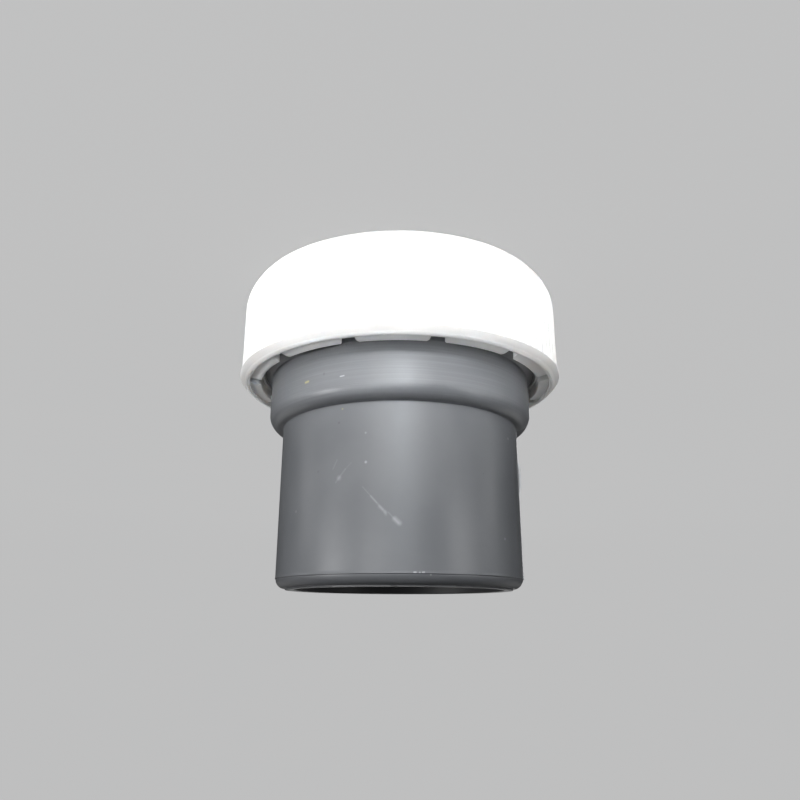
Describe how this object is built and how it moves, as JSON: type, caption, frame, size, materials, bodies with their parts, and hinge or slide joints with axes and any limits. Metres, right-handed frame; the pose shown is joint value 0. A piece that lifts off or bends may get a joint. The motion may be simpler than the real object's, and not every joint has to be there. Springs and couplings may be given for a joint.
{
  "type": "pipe transition adapter",
  "caption": "Grey waste pipe adapter with a plain spigot, a shouldered head and a white ribbed compression nut that seals a plain pipe end.",
  "frame": {"origin": "centre of the nut's pipe-side face, on the pipe's axis, where the part stands", "axes": "+Z along the pipe's axis from the nut towards the spigot's end"},
  "size_m": [0.0557, 0.0556, 0.0514],
  "materials": {
    "white_nut": "satin moulded",
    "natural_ring": "smooth moulded",
    "black_seal": "matt rubber",
    "grey_body": "semi-gloss moulded"
  },
  "bodies": {
    "nut": {"compression_nut": "white_nut"},
    "slip": {"slip_ring": "natural_ring"},
    "adapter": {"adapter_body": "grey_body", "sealing_ring": "black_seal"}
  },
  "joints": [
    {"name": "nut_turn", "type": "hinge", "parent": "nut", "child": "slip", "pos_m": [0, 0, 0], "axis": [0, 0, 1], "range_deg": [0, 1440]},
    {"name": "thread_travel", "type": "slide", "parent": "slip", "child": "adapter", "axis": [0, 0, 1], "range_m": [0, 0.00924]}
  ],
  "couplings": [
    {"joint": "thread_travel", "follows": "nut_turn", "m_per_rad": 0.00036749}
  ]
}
